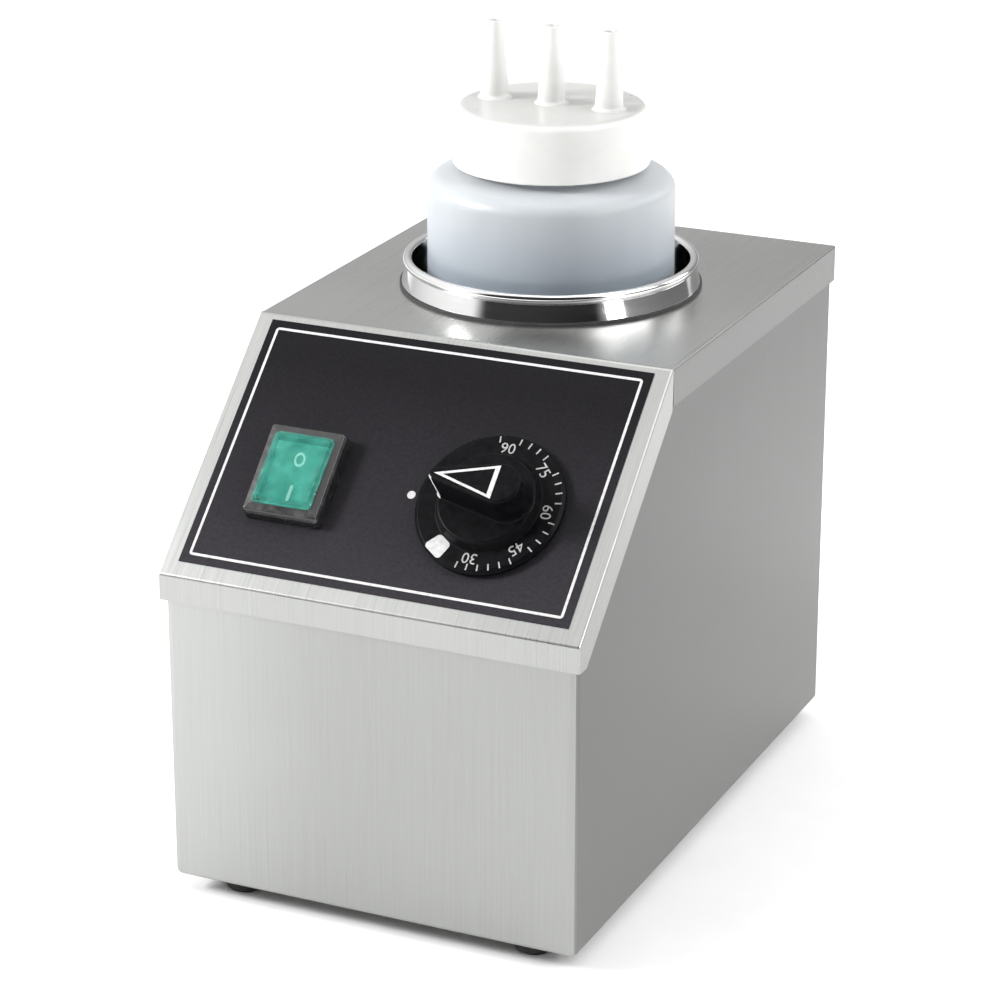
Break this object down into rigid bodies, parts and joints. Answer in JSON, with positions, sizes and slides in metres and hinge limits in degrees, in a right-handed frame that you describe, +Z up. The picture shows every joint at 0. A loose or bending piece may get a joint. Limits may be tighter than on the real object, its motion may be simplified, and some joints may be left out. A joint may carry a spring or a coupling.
{
  "type": "topping warmer",
  "caption": "Countertop topping warmer: stainless casing with sloped control face, heated well and a three-nozzle squeeze bottle.",
  "frame": {"origin": "middle of the whole warmer, its rear cable gland included, on the surface that its feet stand on", "axes": "+X to the right seen from the front, +Y to the back, +Z up"},
  "size_m": [0.158, 0.2554, 0.2887],
  "materials": {
    "brushed_stainless": "brushed lengthways, satin",
    "polished_stainless": "mirror polished",
    "plain_steel": "mill finish, zinc plated",
    "screw_steel": "bright zinc plated",
    "foot_rubber": "matt black rubber",
    "seal_rubber": "matt silicone",
    "overlay_print": "printed film, fine texture",
    "black_plastic": "moulded, satin",
    "knob_black": "moulded phenolic, satin",
    "rocker_green": "translucent green, glossy",
    "clear_cover": "clear, glossy",
    "terminal_brass": "bright",
    "terminal_white": "moulded",
    "copper": "drawn copper",
    "heater_metal": "rolled, heat tinted",
    "mineral_wool": "matted fibre",
    "gland_black": "moulded nylon",
    "wire_brown": "smooth insulation",
    "wire_blue": "smooth insulation",
    "wire_green": "smooth insulation",
    "bottle_plastic": "translucent, blow moulded",
    "ring_foam": "closed-cell foam",
    "cap_plastic": "translucent, injection moulded"
  },
  "bodies": {
    "casing": {"body_shell": "brushed_stainless", "top_cover": "brushed_stainless", "rear_panel": "brushed_stainless", "base_plate": "plain_steel", "well_support": "plain_steel", "foot_pads": "foot_rubber", "foot_screws": "screw_steel", "rear_screws": "screw_steel", "cover_screws": "screw_steel", "control_overlay": "overlay_print", "switch_housing": "black_plastic", "splash_frame": "black_plastic", "splash_cover": "clear_cover", "switch_terminals": "terminal_brass", "thermostat_case": "plain_steel", "thermostat_bracket": "plain_steel", "thermostat_screws": "screw_steel", "thermostat_terminals": "terminal_brass", "capillary_tube": "copper", "sensing_bulb": "copper", "bulb_sleeve": "plain_steel", "well_pot": "polished_stainless", "well_collar": "polished_stainless", "well_seal": "seal_rubber", "heater_band": "heater_metal", "band_clamp": "screw_steel", "insulation_sleeve": "mineral_wool", "thermal_cutout": "black_plastic", "cutout_terminals": "terminal_brass", "terminal_block": "terminal_white", "earth_stud": "terminal_brass", "cable_gland": "gland_black", "gland_locknut": "gland_black", "live_wire": "wire_brown", "neutral_wire": "wire_blue", "earth_wire": "wire_green", "switch_wire": "wire_brown", "cutout_wire": "wire_brown", "heater_wire": "wire_brown"},
    "knob": {"control_knob": "knob_black", "thermostat_spindle": "screw_steel"},
    "rocker": {"switch_rocker": "rocker_green"},
    "bottle": {"bottle_body": "bottle_plastic"},
    "ring": {"cap_ring": "ring_foam"},
    "cap": {"bottle_cap": "cap_plastic"}
  },
  "joints": [
    {"name": "knob_turn", "type": "hinge", "parent": "casing", "child": "knob", "pos_m": [0.0325, -0.09505, 0.15168], "axis": [0, -0.6783, 0.7348], "range_deg": [-270, 0]},
    {"name": "rocker_tip", "type": "hinge", "parent": "casing", "child": "rocker", "pos_m": [-0.04, -0.09518, 0.1502], "axis": [1, 0, 0], "range_deg": [-14, 0]},
    {"name": "bottle_lift", "type": "slide", "parent": "casing", "child": "bottle", "axis": [0, 0, 1], "range_m": [0, 0.16]},
    {"name": "cap_turn", "type": "hinge", "parent": "bottle", "child": "ring", "pos_m": [0, 0.02675, 0.2585], "axis": [0, 0, 1], "range_deg": [0, 720]},
    {"name": "cap_lift", "type": "slide", "parent": "ring", "child": "cap", "axis": [0, 0, 1], "range_m": [0, 0.00847]}
  ],
  "couplings": [
    {"joint": "cap_lift", "follows": "cap_turn", "m_per_rad": 0.0006737}
  ]
}
